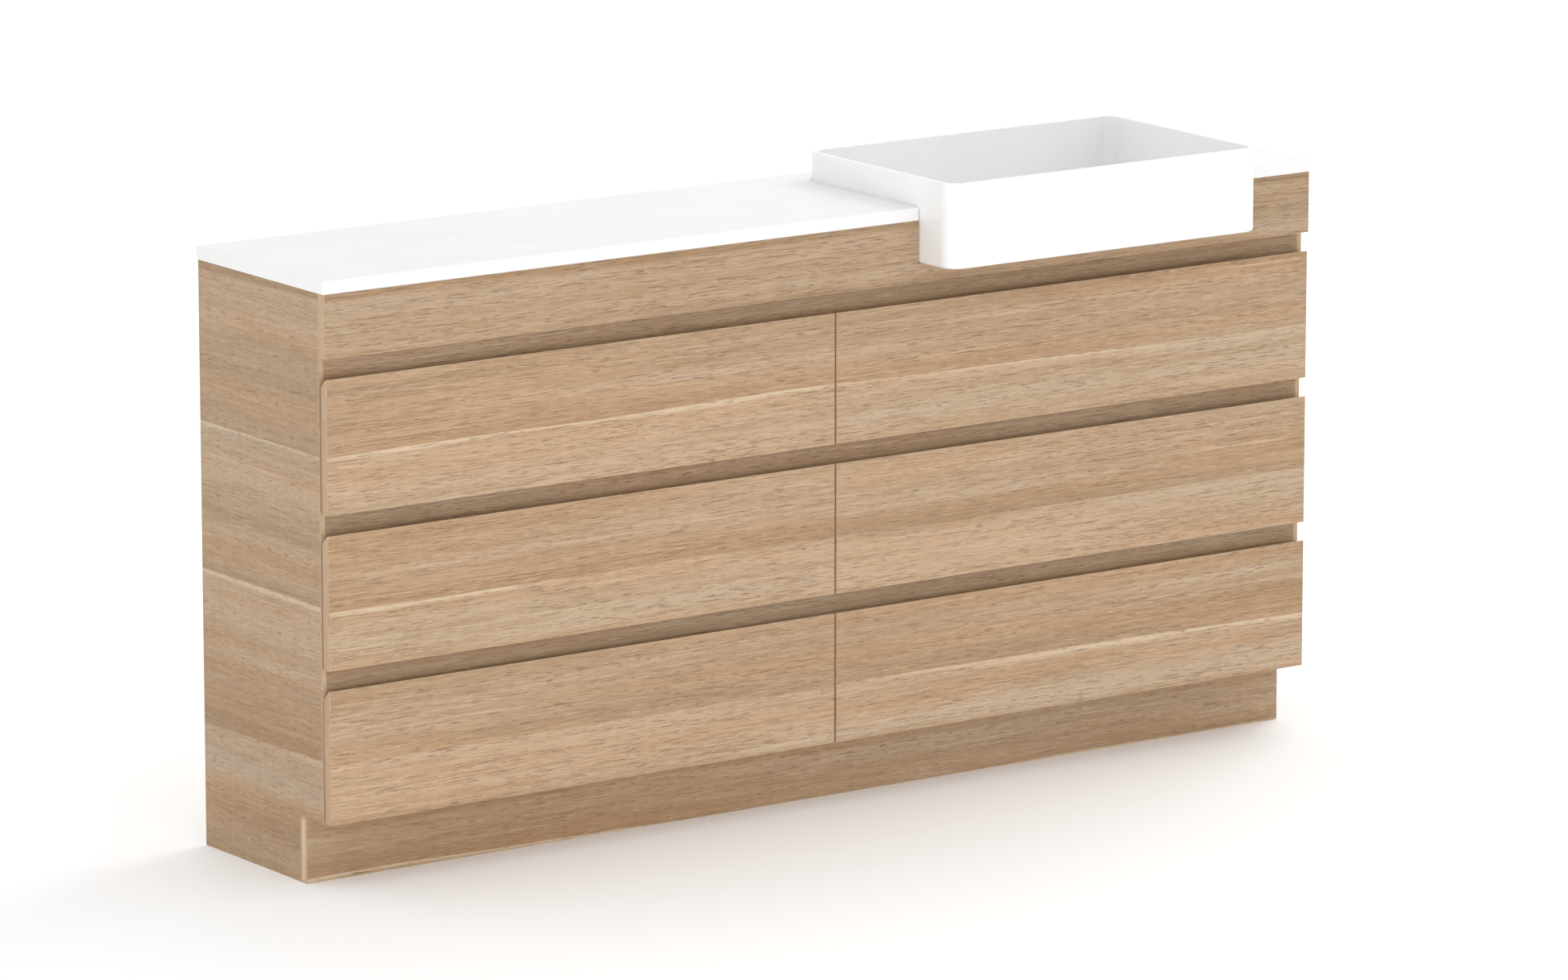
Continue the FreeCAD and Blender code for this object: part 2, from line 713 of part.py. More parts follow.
def drawer_front(label, across, bottom):
    """A board whose top edge falls away behind, for the fingers."""
    body = new_body(label, across[0], front_plane, bottom)
    sketch = new_sketch(body, "YZ_Plane")
    outline(sketch, [
        (ZERO, ZERO),
        (dim.board, ZERO),
        (dim.board, dim.front_height - dim.bevel_drop),
        (dim.bevel_land, dim.front_height),
        (ZERO, dim.front_height),
    ])
    pad(body, sketch, across[1] - across[0])
    return body


front_spans = {
    "left": (left_face + dim.side_reveal, -dim.centre_gap / 2),
    "right": (dim.centre_gap / 2, right_face - dim.side_reveal),
}
runner_start = carcass_front + dim.runner_start
box_back = front_back + dim.box_length
cabinet_members = []

for row, row_name in enumerate(ROWS):
    for bay_name, low_face, high_face in BAYS:
        name = f"drawer_{row_name}_{bay_name}"
        bottom = front_bottom(row)
        box_bottom = bottom + dim.box_lift
        base_bottom = box_bottom + dim.sheet
        base_top = base_bottom + dim.board
        runner_centre = bottom + dim.runner_level
        wall = dim.runner_space + dim.sheet
        inside_box = (low_face + wall, high_face - wall)

        keep(drawer_front(f"{name}_front", front_spans[bay_name], bottom))
        keep(steel_side(f"{name}_side_left", low_face, "left", box_bottom))
        keep(steel_side(f"{name}_side_right", high_face, "right", box_bottom))
        keep(block(f"{name}_base", inside_box, (front_back, box_back), (base_bottom, base_top)))
        keep(block(
            f"{name}_back",
            inside_box,
            (box_back - dim.board, box_back),
            (base_top, box_bottom + dim.box_height - dim.sheet),
        ))

        middle_members = []
        for hand, face in (("left", low_face), ("right", high_face)):
            cabinet_members.append(channel(
                f"{name}_cabinet_member_{hand}", face, hand, ZERO, dim.outer_reach,
                dim.outer_member, runner_centre, runner_start,
            ))
            middle_members.append(channel(
                f"{name}_middle_member_{hand}", face, hand, dim.middle_start, dim.middle_reach,
                dim.middle_member, runner_centre, runner_start,
            ))
        keep(group(f"{name}_runners", middle_members))

keep(group("cabinet_runner_members", cabinet_members))

# ---------------------------------------------------------------------------------------------
# Check everything, then write one file for each sub-part
# ---------------------------------------------------------------------------------------------

doc.recompute()
for thing in doc.Objects:
    bad = [state for state in thing.State if state in ("Invalid", "Error")]
    if bad:
        raise RuntimeError(f"{thing.Label} is {bad}")
for piece in nodes:
    if piece.Shape.isNull() or not piece.Shape.isValid():
        raise RuntimeError(f"{piece.Label} has no valid shape")

os.makedirs("parts", exist_ok=True)
for piece in nodes:
    piece.Shape.exportStep(os.path.join("parts", piece.Label + ".step"))
print(len(nodes), "sub-parts written")
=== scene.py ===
import json
import math

import bmesh
import bpy
from bpy.props import FloatProperty, FloatVectorProperty, PointerProperty
from mathutils import Matrix, Vector


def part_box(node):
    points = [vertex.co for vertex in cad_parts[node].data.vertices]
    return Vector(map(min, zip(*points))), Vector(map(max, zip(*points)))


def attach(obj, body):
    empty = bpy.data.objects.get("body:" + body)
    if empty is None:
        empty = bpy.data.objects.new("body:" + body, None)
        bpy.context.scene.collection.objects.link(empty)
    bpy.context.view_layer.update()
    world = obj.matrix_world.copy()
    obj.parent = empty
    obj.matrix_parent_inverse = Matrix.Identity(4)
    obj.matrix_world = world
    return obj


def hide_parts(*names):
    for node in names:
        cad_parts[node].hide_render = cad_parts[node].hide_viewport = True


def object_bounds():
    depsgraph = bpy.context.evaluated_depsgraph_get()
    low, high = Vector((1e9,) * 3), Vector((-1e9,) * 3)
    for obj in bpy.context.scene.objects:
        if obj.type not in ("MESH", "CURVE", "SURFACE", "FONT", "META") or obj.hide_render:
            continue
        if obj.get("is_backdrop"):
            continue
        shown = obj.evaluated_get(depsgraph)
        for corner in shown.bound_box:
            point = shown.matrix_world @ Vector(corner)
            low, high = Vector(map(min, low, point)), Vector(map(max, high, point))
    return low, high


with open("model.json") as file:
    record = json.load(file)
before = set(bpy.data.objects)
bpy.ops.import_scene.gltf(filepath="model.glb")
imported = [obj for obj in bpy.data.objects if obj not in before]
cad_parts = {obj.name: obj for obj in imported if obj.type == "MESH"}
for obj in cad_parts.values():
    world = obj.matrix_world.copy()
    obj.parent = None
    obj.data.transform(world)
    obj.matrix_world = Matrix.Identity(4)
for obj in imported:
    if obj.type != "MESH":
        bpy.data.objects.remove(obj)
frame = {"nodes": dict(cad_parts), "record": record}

bl_info = {
    "name": "Vanity with apron basin",
    "version": (1, 0, 0),
    "blender": (4, 5, 0),
    "location": "3D View > Sidebar > Vanity",
    "description": "Dresses the packed vanity: oak-grain boards, white top and basin, drawers "
                   "and waste",
    "category": "Object",
}

CAD_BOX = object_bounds()
BODY_OF = {
    node: body
    for body, nodes in frame["record"]["behaviour"]["bodies"].items()
    for node in nodes
}
ROWS = ("bottom", "middle", "top")
BAYS = ("left", "right")
DRAWERS = [f"drawer_{row}_{bay}" for row in ROWS for bay in BAYS]

X, Y, Z = 0, 1, 2
SAME_POINT = 1e-5                    # CAD corners closer than this are one corner
SMALL_EDGE = 0.002                   # the chords of a drilled hole are shorter than this
FLAT = math.radians(1.0)             # faces that turn less than this are one flat face
CORNER = math.radians(30.0)          # an edge that turns more than this is a corner
SHADED_SHARP = math.radians(50.0)    # an edge that turns more than this is shaded crisp
SQUARE_ON = 0.95                     # how nearly a face looks along an axis, as a cosine


# ---------------------------------------------------------------------------------------------
# Sizes and colours that a user would change
# ---------------------------------------------------------------------------------------------


def length(name, description, default, most=1.0):
    return FloatProperty(name=name, description=description, default=default, min=0.0, max=most,
                         subtype="DISTANCE", unit="LENGTH", precision=4)


def colour(name, description, default):
    return FloatVectorProperty(name=name, description=description, default=default, size=3,
                               min=0.0, max=1.0, subtype="COLOR")


def share(name, description, default):
    return FloatProperty(name=name, description=description, default=default, min=0.0, max=1.0,
                         subtype="FACTOR")


class OakSettings(bpy.types.PropertyGroup):
    pitch: length("Pattern pitch", "Height after which the printed oak repeats", 0.230)
    start: length("Pattern start", "Height of the top edge of the top drawer fronts",
                  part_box("drawer_top_left_front")[1].z, 3.0)
    arris: length("Arris", "Round on the edges of the boards", 0.0006)
    skin: length("Skin", "Rim of oak colour round the kickboard's pale ends", 0.0032)
    pale: colour("Pale oak", "Palest broad bands", (0.510, 0.371, 0.252))
    mid: colour("Oak", "Most of the surface", (0.441, 0.297, 0.179))
    deep: colour("Deep oak", "Darkest broad bands", (0.370, 0.239, 0.135))
    streak: colour("Streak", "Pale streaks along the grain", (0.640, 0.500, 0.350))
    pore: colour("Pores", "Short dark pores", (0.200, 0.130, 0.080))
    figure: share("Figure", "Strength of the broad bands", 1.0)
    pores: share("Pore depth", "How dark the pores are", 0.72)


class WhiteSettings(bpy.types.PropertyGroup):
    basin: colour("Basin", "Satin white of the basin", (0.89, 0.89, 0.887))
    benchtop: colour("Benchtop", "Honed white of the benchtop", (0.85, 0.85, 0.847))
    corner: length("Corner", "Outer radius of the basin's upright corners", 0.028)
    wall: length("Wall", "Thickness of the basin's walls", 0.009)
    lip: length("Lip", "Round on both edges of the rim", 0.0018)
    foot: length("Foot", "Round along the basin's bottom edge", 0.004)
    bowl: length("Bowl round", "Round between the basin's floor and walls", 0.012)
    fall: length("Fall", "Drop of the basin floor towards the waste", 0.002)
    recess: length("Recess", "Radius of the recess for the waste flange", 0.033)
    hole: length("Waste hole", "Radius of the hole in the basin floor", 0.023)
    top_arris: length("Top arris", "Round on the edges of the benchtop", 0.0012)
    sealant: length("Sealant", "Width of the sealant bead round the basin", 0.0035)


class FittingSettings(bpy.types.PropertyGroup):
    steel: colour("Drawer steel", "Light grey powder coat", (0.58, 0.58, 0.57))
    zinc: colour("Runner steel", "Bright zinc plate", (0.56, 0.57, 0.58))
    board: colour("Drawer board", "Light grey melamine", (0.63, 0.62, 0.59))
    chrome: colour("Chrome", "Polished waste flange and plug", (0.80, 0.81, 0.82))
    brass: colour("Brass", "Waste nut", (0.66, 0.46, 0.20))
    plastic: colour("Trap", "White moulded plastic", (0.74, 0.74, 0.72))
    arris: length("Metal arris", "Round on the edges of sheet metal", 0.0003)
    board_arris: length("Board arris", "Round on the drawer boards' edges", 0.0006)


class StageSettings(bpy.types.PropertyGroup):
    floor: colour("Floor", "Pale floor", (0.98, 0.98, 0.98))
    reach: length("Floor radius", "Radius of the floor", 40.0, 100.0)
    sky: FloatProperty(name="Sky", description="Strength of the even white light",
                       default=0.98, min=0.0)
    low_key: FloatProperty(name="Low key", description="Power of the low light at the front left",
                           default=46.0, min=0.0, unit="POWER")
    high_key: FloatProperty(name="High key", description="Power of the light above on the right",
                            default=88.0, min=0.0, unit="POWER")
    turn: FloatProperty(name="Turn", description="Camera's turn to the left of straight on",
                        default=math.radians(35.04), unit="ROTATION")
    rise: FloatProperty(name="Rise", description="Camera's height as an angle",
                        default=math.radians(11.975), unit="ROTATION")
    away: length("Distance", "Camera from the middle of the vanity", 13.073, 100.0)
    lens: FloatProperty(name="Lens", description="Focal length", default=198.16, min=1.0)


# ---------------------------------------------------------------------------------------------
# Shader nodes
# ---------------------------------------------------------------------------------------------


def rgba(value):
    return (*value[:3], 1.0)


class Wiring:
    """Adds nodes to one node tree, from left to right, and joins them."""

    def __init__(self, tree):
        self.tree = tree
        self.count = 0

    def feed(self, socket, value):
        if isinstance(value, bpy.types.NodeSocket):
            self.tree.links.new(value, socket)
        else:
            socket.default_value = value

    def node(self, kind, fed=None, **settings):
        made = self.tree.nodes.new(kind)
        made.location = (190 * self.count, -40 * (self.count % 7))
        self.count += 1
        for key, value in settings.items():
            setattr(made, key, value)
        for key, value in (fed or {}).items():
            self.feed(made.inputs[key], value)
        return made

    def sum(self, operation, *values):
        return self.node("ShaderNodeMath", dict(enumerate(values)), operation=operation).outputs[0]

    def stretched(self, vector, along, across):
        """The place, scaled along the grain and across it, so a noise lies in streaks."""
        fed = {0: vector, 1: (along, across, across)}
        return self.node("ShaderNodeVectorMath", fed, operation="MULTIPLY").outputs[0]

    def noise(self, vector, scale=1.0, detail=2.0, roughness=0.5):
        return self.node("ShaderNodeTexNoise", {
            "Vector": vector, "Scale": scale, "Detail": detail, "Roughness": roughness,
        }).outputs[0]

    def span(self, value, low, high, to_low=0.0, to_high=1.0):
        return self.node("ShaderNodeMapRange", {
            "Value": value, "From Min": low, "From Max": high, "To Min": to_low, "To Max": to_high,
        }, interpolation_type="SMOOTHSTEP").outputs[0]

    def mix(self, factor, first, second, blend="MIX"):
        return self.node("ShaderNodeMix", {0: factor, 6: first, 7: second},
                         data_type="RGBA", blend_type=blend).outputs[2]

    def ramp(self, value, stops):
        made = self.node("ShaderNodeValToRGB", {0: value})
        elements = made.color_ramp.elements
        while len(elements) < len(stops):
            elements.new(1.0)
        for element, (position, grey) in zip(elements, stops):
            element.position = position
            element.color = (grey, grey, grey, 1.0)
        return made.outputs[0]


SOCKETS = {"vector": "NodeSocketVector", "value": "NodeSocketFloat", "colour": "NodeSocketColor"}


def node_group(name, inputs, outputs):
    """A node group with named sockets, the wiring that fills it and its input node."""
    group = bpy.data.node_groups.new(name, "ShaderNodeTree")
    for label, kind, default in inputs:
        socket = group.interface.new_socket(name=label, in_out="INPUT", socket_type=SOCKETS[kind])
        if default is not None:
            socket.default_value = default
    for label, kind in outputs:
        group.interface.new_socket(name=label, in_out="OUTPUT", socket_type=SOCKETS[kind])
    wiring = Wiring(group)
    start = wiring.node("NodeGroupInput")
    return group, wiring, start


# Tones of one repeat of the printed oak, from the top edge of a drawer front downwards.
OAK_TONES = (
    (0.00, 0.44), (0.07, 0.32), (0.12, 0.54), (0.30, 0.50), (0.42, 0.22),
    (0.485, 0.24), (0.505, 0.88), (0.60, 0.76), (0.78, 0.84), (0.88, 0.50), (1.00, 0.44),
)
STREAK_LEVEL = 0.49      # where the pale streak lies in a repeat
MIDDLE_TONE = 0.55       # the tone of a board with no figure
WANDER = 0.032           # the repeat strays up or down by at most half of this
BROAD_WEIGHT, STREAK_WEIGHT, FIBRE_WEIGHT = 1.5, 1.35, 1.9
TAN = (1.03, 0.985, 0.94, 1.0)
GREY = (0.965, 0.995, 1.03, 1.0)


def oak_grain_group():
    """Printed oak with its grain along the X of its place and its repeat along Z."""
    oak = bpy.context.scene.vanity_oak
    group, w, start = node_group("oak_grain", [
        ("Place", "vector", None),
        ("Repeat", "value", oak.pitch),
        ("Top", "value", oak.start),
        ("Figure", "value", oak.figure),
        ("Steady", "value", 0.0),
        ("Pore Depth", "value", oak.pores),
        ("Pale", "colour", rgba(oak.pale)),
        ("Mid", "colour", rgba(oak.mid)),
        ("Deep", "colour", rgba(oak.deep)),
        ("Streak", "colour", rgba(oak.streak)),
        ("Pore", "colour", rgba(oak.pore)),
    ], [("Color", "colour"), ("Roughness", "value"), ("Height", "value")])
    place = start.outputs["Place"]
    height = w.node("ShaderNodeSeparateXYZ", {0: place}).outputs[2]

    # The repeat strays up and down along the board.
    wander = w.noise(w.stretched(place, 0.9, 4.0), detail=2.0)
    level = w.sum("MULTIPLY_ADD", w.sum("SUBTRACT", wander, 0.5), WANDER, height)
    depth = w.sum("SUBTRACT", start.outputs["Top"], level)
    below = w.sum("DIVIDE", depth, start.outputs["Repeat"])
    turn = w.sum("FRACT", below)
    bands = w.ramp(turn, OAK_TONES)

    broad = w.noise(w.stretched(place, 0.9, 26.0), detail=3.0, roughness=0.55)
    streaks = w.noise(w.stretched(place, 2.6, 130.0), detail=4.0, roughness=0.66)
    fibres = w.noise(w.stretched(place, 12.0, 620.0), detail=3.0, roughness=0.65)

    figured = w.sum("MULTIPLY", w.sum("SUBTRACT", bands, MIDDLE_TONE), start.outputs["Figure"])
    tone = w.sum("ADD", figured, MIDDLE_TONE)
    for pattern, weight in (
        (broad, BROAD_WEIGHT), (streaks, STREAK_WEIGHT), (fibres, FIBRE_WEIGHT),
    ):
        tone = w.sum("MULTIPLY_ADD", w.sum("SUBTRACT", pattern, 0.5), weight, tone)
    lower = w.mix(w.span(tone, 0.0, 0.5), start.outputs["Deep"], start.outputs["Mid"])
    wood = w.mix(w.span(tone, 0.5, 1.0), lower, start.outputs["Pale"])

    # Some bands turn greyer, some more tan.
    hue = w.span(w.noise(w.stretched(place, 0.8, 16.0), detail=2.0), 0.38, 0.62)
    wood = w.mix(0.85, wood, w.mix(hue, TAN, GREY), "MULTIPLY")

    # A pale streak in every repeat from the top drawers down, crisp above and soft below, comes
    # and goes along the board, and a few finer ones lie anywhere.
    swell = w.span(w.noise(w.stretched(place, 2.6, 3.0), detail=1.0), 0.36, 0.64, 1.5, 0.55)
    off = w.sum("MULTIPLY", w.sum("SUBTRACT", turn, STREAK_LEVEL), swell)
    runs = w.sum("MAXIMUM", start.outputs["Steady"],
                 w.span(w.noise(w.stretched(place, 1.1, 3.0), detail=1.0), 0.40, 0.55))
    edge = w.sum("MULTIPLY", w.span(off, -0.005, 0.001), w.span(off, 0.026, 0.006))
    main = w.sum("MULTIPLY", w.sum("MULTIPLY", edge, w.span(below, 0.0, 0.1)), runs)
    fine = w.span(w.noise(w.stretched(place, 2.2, 210.0), detail=3.0), 0.63, 0.74)
    flecks = w.span(w.noise(w.stretched(place, 26.0, 800.0), detail=1.0), 0.60, 0.68)
    light = w.sum("MAXIMUM", w.sum("MULTIPLY", main, start.outputs["Figure"]),
                  w.sum("MAXIMUM", w.sum("MULTIPLY", fine, 0.55), w.sum("MULTIPLY", flecks, 0.45)))
    wood = w.mix(w.sum("MULTIPLY", light, 0.85), wood, start.outputs["Streak"])

    # Short dark pores, thick in some bands and thin in others.
    short = w.span(w.noise(w.stretched(place, 48.0, 900.0), detail=1.0), 0.60, 0.66)
    long = w.span(w.noise(w.stretched(place, 19.0, 760.0), detail=1.0), 0.63, 0.68)
    crowd = w.span(w.noise(w.stretched(place, 2.2, 90.0), detail=3.0), 0.34, 0.62, 0.5, 1.0)
    pores = w.sum("MULTIPLY", w.sum("MAXIMUM", short, w.sum("MULTIPLY", long, 0.9)), crowd)
    darkened = w.sum("MULTIPLY", pores, start.outputs["Pore Depth"])
    wood = w.mix(darkened, wood, start.outputs["Pore"])

    roughness = w.sum("MULTIPLY_ADD", pores, 0.16, w.span(fibres, 0.3, 0.7, 0.44, 0.52))
    relief = w.sum("MULTIPLY_ADD", pores, -1.0, w.sum("MULTIPLY", fibres, 0.35))
    w.node("NodeGroupOutput", {"Color": wood, "Roughness": roughness, "Height": relief})
    return group


def fine_surface_group():
    """A near-plain finish: soft mottling, fine speckle, and the two together in the roughness."""
    group, w, start = node_group("fine_surface", [
        ("Place", "vector", None),
        ("Light", "colour", (0.8, 0.8, 0.8, 1.0)),
        ("Dark", "colour", (0.7, 0.7, 0.7, 1.0)),
        ("Mottle Scale", "value", 12.0),
        ("Speckle Scale", "value", 1500.0),
        ("Speckle", "value", 0.3),
        ("Smooth", "value", 0.2),
        ("Rough", "value", 0.3),
    ], [("Color", "colour"), ("Roughness", "value"), ("Height", "value")])
    place = start.outputs["Place"]
    mottle = w.noise(place, start.outputs["Mottle Scale"], detail=4.0, roughness=0.6)
    speckle = w.noise(place, start.outputs["Speckle Scale"], detail=2.0, roughness=0.6)
    spots = w.sum("MULTIPLY", w.span(speckle, 0.40, 0.62), start.outputs["Speckle"])
    cloud = w.span(mottle, 0.32, 0.68)
    factor = w.sum("MINIMUM", w.sum("MULTIPLY_ADD", cloud, 0.6, spots), 1.0)
    shade = w.mix(factor, start.outputs["Light"], start.outputs["Dark"])
    spread = w.node("ShaderNodeMapRange", {
        "Value": w.sum("MULTIPLY_ADD", speckle, 0.35, w.sum("MULTIPLY", mottle, 0.65)),
        "From Min": 0.3, "From Max": 0.7,
        "To Min": start.outputs["Smooth"], "To Max": start.outputs["Rough"],
    }).outputs[0]
    w.node("NodeGroupOutput", {"Color": shade, "Roughness": spread, "Height": speckle})
    return group


def rubbed_group():
    """Light rubbing along an arris: a mask that comes and goes."""
    group, w, start = node_group("rubbed_arris", [
        ("Place", "vector", None),
        ("Scale", "value", 60.0),
        ("Amount", "value", 0.5),
    ], [("Mask", "value")])
    coarse = w.noise(start.outputs["Place"], start.outputs["Scale"], detail=5.0, roughness=0.7)
    patchy = w.noise(start.outputs["Place"], 9.0, detail=2.0)
    worn = w.sum("MULTIPLY", w.span(coarse, 0.42, 0.64), w.span(patchy, 0.38, 0.60, 0.25, 1.0))
    mask = w.sum("MULTIPLY", worn, start.outputs["Amount"])
    w.node("NodeGroupOutput", {"Mask": mask})
    return group


MAKERS = {
    "oak_grain": oak_grain_group,
    "fine_surface": fine_surface_group,
    "rubbed_arris": rubbed_group,
}


def placed_group(w, name, fed):
    tree = bpy.data.node_groups.get(name) or MAKERS[name]()
    return w.node("ShaderNodeGroup", fed, node_tree=tree)


def new_material(name):
    made = bpy.data.materials.new(name)
    made.use_nodes = True
    made.node_tree.nodes.clear()
    return made, Wiring(made.node_tree)


def close_material(w, colour, roughness, height, bump, **plain):
    """The shader and its output. Values that don't vary are set on the shader itself."""
    normal = w.node("ShaderNodeBump", {"Height": height, "Strength": 1.0, "Distance": bump})
    shader = w.node("ShaderNodeBsdfPrincipled", {
        "Base Color": colour, "Roughness": roughness, "Normal": normal.outputs[0],
    })
    for label, value in plain.items():
        shader.inputs[label.replace("_", " ")].default_value = value
    w.node("ShaderNodeOutputMaterial", {"Surface": shader.outputs[0]})


def place_of(w, turn=(0.0, 0.0, 0.0), shift=(0.0, 0.0, 0.0), scale=(1.0, 1.0, 1.0)):
    coordinates = w.node("ShaderNodeTexCoord").outputs["Object"]
    return w.node("ShaderNodeMapping", {
        "Vector": coordinates, "Rotation": turn, "Location": shift, "Scale": scale,
    }).outputs[0]


FACE_RELIEF = 0.00006    # depth of the pores in a board's face
EDGE_RELIEF = 0.00003    # relief of edge bands and worn edges
CORE_LIFT = 0.75         # how pale the sawn core of a board is, against the streak colour
QUARTER = math.pi / 2
GRAIN_TURN = {X: (0.0, 0.0, 0.0), Y: (0.0, 0.0, -QUARTER), Z: (0.0, QUARTER, 0.0)}
GRAIN_WORD = {X: "along", Y: "deep", Z: "upright"}


def once(maker):
    """Each material is made the first time that a piece asks for it."""
    made = {}

    def ask(*key):
        if key not in made:
            made[key] = maker(*key)
        return made[key]
    return ask


# For each kind of board: its painted shade against the fronts (a darker copy of the oak on the side
# panels and plinth ends, whose side faces get less light, on the fascia in the basin's shadow, on
# the finger rails in their recess and on the set-back kickboard), how far its pattern is lowered,
# and whether its pale streak runs on without a break, as along the foot of the kickboard.
BOARD_LOOKS = {
    "board": (1.0, 0.0, 0.0), "end": (0.92, 0.0, 0.0), "fascia": (0.88, 0.0, 0.0),
    "rail": (0.77, 0.0, 0.0), "kickboard": (0.94, 0.4135, 1.0),
}


@once
def oak_face(axis, look):
    """The broad face of a board, with the printed grain along one axis, darkened by its look's
    painted shade.
    """
    shade, lowered, steady = BOARD_LOOKS[look]
    made, w = new_material(f"oak_{look}_{GRAIN_WORD[axis]}")
    shift = (0.0, 0.0, 0.0) if axis == X else (3.7, 0.4, 0.0)
    grain = placed_group(w, "oak_grain", {
        "Place": place_of(w, GRAIN_TURN[axis], shift),
        "Top": bpy.context.scene.vanity_oak.start - lowered, "Steady": steady,
    })
    # Painted shade: the whole face is darkened by the look's factor, standing in for the lower
    # light on side faces, recesses and boards under the basin.
    oak_in_painted_shade = w.mix(1.0, grain.outputs["Color"], (shade, shade, shade, 1.0), "MULTIPLY")
    close_material(w, oak_in_painted_shade, grain.outputs["Roughness"], grain.outputs["Height"], FACE_RELIEF,
                   Specular_IOR_Level=0.22)
    return made


@once
def oak_band(axis, lift=0.18):
    """Edge band, or sawn core: oak with no figure, paler by lift, with the grain along the edge."""
    made, w = new_material(f"oak_band_{GRAIN_WORD[axis]}" + ("_core" if lift == CORE_LIFT else ""))
    place = place_of(w, GRAIN_TURN[axis], (1.9, 0.2, 0.7))
    grain = placed_group(w, "oak_grain", {"Place": place, "Figure": 0.0, "Pore Depth": 0.35})
    pale = w.mix(lift, grain.outputs["Color"], rgba(bpy.context.scene.vanity_oak.streak))
    close_material(w, pale, grain.outputs["Roughness"], grain.outputs["Height"], EDGE_RELIEF,
                   Specular_IOR_Level=0.4)
    return made


@once
def oak_arris():
    """The rounded corner between face and band, lightly rubbed."""
    made, w = new_material("oak_arris")
    place = place_of(w)
    grain = placed_group(w, "oak_grain", {"Place": place, "Figure": 0.0, "Pore Depth": 0.2})
    worn = placed_group(w, "rubbed_arris", {"Place": place, "Amount": 0.8})
    rubbed = w.mix(worn.outputs["Mask"], grain.outputs["Color"],
                   rgba(bpy.context.scene.vanity_oak.streak))
    close_material(w, rubbed, grain.outputs["Roughness"], grain.outputs["Height"], EDGE_RELIEF,
                   Specular_IOR_Level=0.4)
    return made


def plain_finish(name, light, *, darker, mottle, grit, speckle, smooth, rough, bump,
                 scale=(1.0, 1.0, 1.0), **plain):
    """A finish of one colour with its own mottling, speckle, sheen and fine relief.

    darker is the mottles' shade against the colour, mottle and grit are the sizes of the two
    noises, and smooth and rough are the ends of the roughness.
    """
    made, w = new_material(name)
    surface = placed_group(w, "fine_surface", {
        "Place": place_of(w, scale=scale),
        "Light": rgba(light), "Dark": rgba([part * darker for part in light]),
        "Mottle Scale": mottle, "Speckle Scale": grit, "Speckle": speckle,
        "Smooth": smooth, "Rough": rough,
    })
    close_material(w, surface.outputs["Color"], surface.outputs["Roughness"],
                   surface.outputs["Height"], bump, **plain)
    return made


@once
def basin_glaze():
    return plain_finish("basin_satin_white", bpy.context.scene.vanity_white.basin,
                        darker=0.965, mottle=7.0, grit=900.0, speckle=0.25,
                        smooth=0.20, rough=0.32, bump=0.00001,
                        IOR=1.5, Coat_Weight=0.15, Coat_Roughness=0.12)


@once
def benchtop_stone():
    return plain_finish("benchtop_honed_white", bpy.context.scene.vanity_white.benchtop,
                        darker=0.955, mottle=9.0, grit=700.0, speckle=0.45,
                        smooth=0.34, rough=0.48, bump=0.00002,
                        IOR=1.5)


@once
def sealant_white():
    return plain_finish("sealant_white", (0.80, 0.80, 0.79),
                        darker=0.92, mottle=60.0, grit=1200.0, speckle=0.3,
                        smooth=0.35, rough=0.5, bump=0.00003)


@once
def drawer_steel():
    return plain_finish("drawer_powder_coat", bpy.context.scene.vanity_fittings.steel,
                        darker=0.94, mottle=25.0, grit=1600.0, speckle=0.5,
                        smooth=0.36, rough=0.50, bump=0.00004)


@once
def steel_arris():
    """Powder coat on a sheet's cut edge: thin, and rubbed to bare metal here and there."""
    made, w = new_material("drawer_sheet_edge")
    place = place_of(w)
    steel = bpy.context.scene.vanity_fittings.steel
    surface = placed_group(w, "fine_surface", {"Place": place, "Light": rgba(steel),
                                               "Dark": rgba([part * 0.9 for part in steel])})
    worn = placed_group(w, "rubbed_arris", {"Place": place, "Scale": 140.0, "Amount": 0.5})
    shade = w.mix(worn.outputs["Mask"], surface.outputs["Color"],
                  rgba(bpy.context.scene.vanity_fittings.zinc))
    close_material(w, shade, surface.outputs["Roughness"], surface.outputs["Height"], EDGE_RELIEF)
    return made


@once
def runner_zinc():
    return plain_finish("runner_zinc_plate", bpy.context.scene.vanity_fittings.zinc,
                        darker=0.78, mottle=18.0, grit=260.0, speckle=0.6,
                        smooth=0.24, rough=0.42, bump=0.00003,
                        scale=(1.0, 0.06, 1.0), Metallic=1.0)


@once
def drawer_melamine():
    return plain_finish("drawer_grey_melamine", bpy.context.scene.vanity_fittings.board,
                        darker=0.93, mottle=40.0, grit=1100.0, speckle=0.6,
                        smooth=0.42, rough=0.56, bump=0.00004,
                        scale=(1.0, 0.35, 1.0))


@once
def chrome():
    return plain_finish("waste_chrome", bpy.context.scene.vanity_fittings.chrome,
                        darker=0.93, mottle=30.0, grit=1400.0, speckle=0.2,
                        smooth=0.05, rough=0.13, bump=0.000004,
                        Metallic=1.0)


@once
def brass():
    return plain_finish("nut_brass", bpy.context.scene.vanity_fittings.brass,
                        darker=0.78, mottle=90.0, grit=900.0, speckle=0.5,
                        smooth=0.25, rough=0.42, bump=0.00004,
                        Metallic=1.0)


@once
def trap_plastic():
    return plain_finish("trap_white_plastic", bpy.context.scene.vanity_fittings.plastic,
                        darker=0.95, mottle=20.0, grit=1300.0, speckle=0.3,
                        smooth=0.22, rough=0.34, bump=0.00002)


@once
def floor_paint():
    return plain_finish("stage_pale_floor", bpy.context.scene.vanity_stage.floor,
                        darker=0.985, mottle=0.6, grit=60.0, speckle=0.2,
                        smooth=0.55, rough=0.7, bump=0.00002,
                        Specular_IOR_Level=0.2, Emission_Strength=0.045)


# ---------------------------------------------------------------------------------------------
# Shapes
# ---------------------------------------------------------------------------------------------


